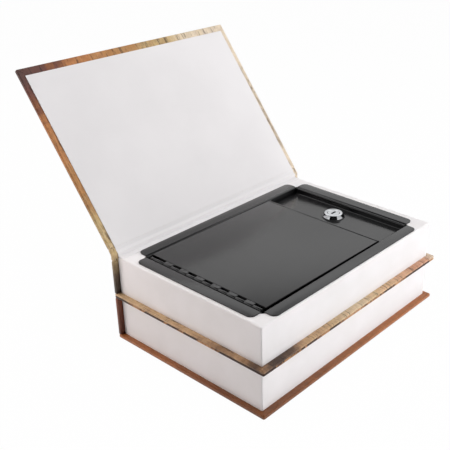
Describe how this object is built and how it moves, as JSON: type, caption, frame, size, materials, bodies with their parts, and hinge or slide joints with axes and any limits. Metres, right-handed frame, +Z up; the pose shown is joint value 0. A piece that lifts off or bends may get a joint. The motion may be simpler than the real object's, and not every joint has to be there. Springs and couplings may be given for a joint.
{
  "type": "book diversion safe",
  "caption": "Steel cash box with a hinged, cam-locked lid, hidden inside a stack of hardback book blocks under an opening front cover.",
  "frame": {"origin": "centre of the lower back cover's underside, on which the stack rests", "axes": "+Z up, +X from the spine to the fore-edge, +Y from the head of the books to their tail"},
  "size_m": [0.2769, 0.24, 0.2194],
  "materials": {
    "printed_upper": "printed paper over board, satin film",
    "printed_lower": "printed paper over board, satin film",
    "white_paper": "matt",
    "fibreboard": "raw",
    "coated_steel": "fine powder coat",
    "zinc_steel": "zinc plated",
    "chrome": "polished",
    "black_trim": "fine matt",
    "brass": "stamped"
  },
  "bodies": {
    "book_stack": {"lower_back_cover": "printed_lower", "lower_spine": "printed_lower", "lower_front_board": "printed_lower", "upper_back_board": "printed_upper", "upper_spine": "printed_upper", "cover_joint_cloth": "printed_upper", "endpaper_joint": "white_paper", "lower_block_wrap": "white_paper", "lower_block_head_bar": "fibreboard", "lower_block_tail_bar": "fibreboard", "lower_block_spine_bar": "fibreboard", "lower_block_fore_edge_bar": "fibreboard", "upper_block_wrap": "white_paper", "upper_block_head_bar": "fibreboard", "upper_block_tail_bar": "fibreboard", "upper_block_spine_bar": "fibreboard", "upper_block_fore_edge_bar": "fibreboard", "lock_box": "coated_steel", "strike_channel": "coated_steel", "hinge_leaf_box": "coated_steel", "hinge_pin": "zinc_steel"},
    "front_cover": {"upper_front_cover": "printed_upper", "cover_pastedown": "white_paper"},
    "steel_lid": {"lid_panel": "coated_steel", "hinge_leaf_lid": "coated_steel", "lock_housing": "chrome", "lock_trim_ring": "black_trim", "lock_nut": "zinc_steel"},
    "lock_core": {"lock_plug": "chrome", "lock_cam": "zinc_steel", "cam_screw": "zinc_steel", "wafer_spring_1": "zinc_steel", "wafer_spring_2": "zinc_steel", "wafer_spring_3": "zinc_steel", "wafer_spring_4": "zinc_steel", "wafer_spring_5": "zinc_steel"},
    "wafer_1": {"lock_wafer_1": "brass"},
    "wafer_2": {"lock_wafer_2": "brass"},
    "wafer_3": {"lock_wafer_3": "brass"},
    "wafer_4": {"lock_wafer_4": "brass"},
    "wafer_5": {"lock_wafer_5": "brass"}
  },
  "joints": [
    {"name": "cover_hinge", "type": "hinge", "parent": "book_stack", "child": "front_cover", "pos_m": [-0.0857, 0, 0.08307], "axis": [0, -1, 0], "range_deg": [-127.8, 52.2], "deforming": ["cover_joint_cloth", "endpaper_joint"]},
    {"name": "lid_hinge", "type": "hinge", "parent": "book_stack", "child": "steel_lid", "pos_m": [0, -0.0975, 0.0784], "axis": [1, 0, 0], "range_deg": [0, 110]},
    {"name": "lock_turn", "type": "hinge", "parent": "steel_lid", "child": "lock_core", "pos_m": [-0.001, 0.075, 0.0745], "axis": [0, 0, 1], "range_deg": [-90, 0]},
    {"name": "wafer_1_slide", "type": "slide", "parent": "lock_core", "child": "wafer_1", "axis": [0, -1, 0], "range_m": [-0.0008, 0], "stiffness_N_per_m": 60, "springref_m": -0.0008},
    {"name": "wafer_2_slide", "type": "slide", "parent": "lock_core", "child": "wafer_2", "axis": [0, -1, 0], "range_m": [-0.0008, 0], "stiffness_N_per_m": 60, "springref_m": -0.0008},
    {"name": "wafer_3_slide", "type": "slide", "parent": "lock_core", "child": "wafer_3", "axis": [0, -1, 0], "range_m": [-0.0008, 0], "stiffness_N_per_m": 60, "springref_m": -0.0008},
    {"name": "wafer_4_slide", "type": "slide", "parent": "lock_core", "child": "wafer_4", "axis": [0, -1, 0], "range_m": [-0.0008, 0], "stiffness_N_per_m": 60, "springref_m": -0.0008},
    {"name": "wafer_5_slide", "type": "slide", "parent": "lock_core", "child": "wafer_5", "axis": [0, -1, 0], "range_m": [-0.0008, 0], "stiffness_N_per_m": 60, "springref_m": -0.0008}
  ]
}
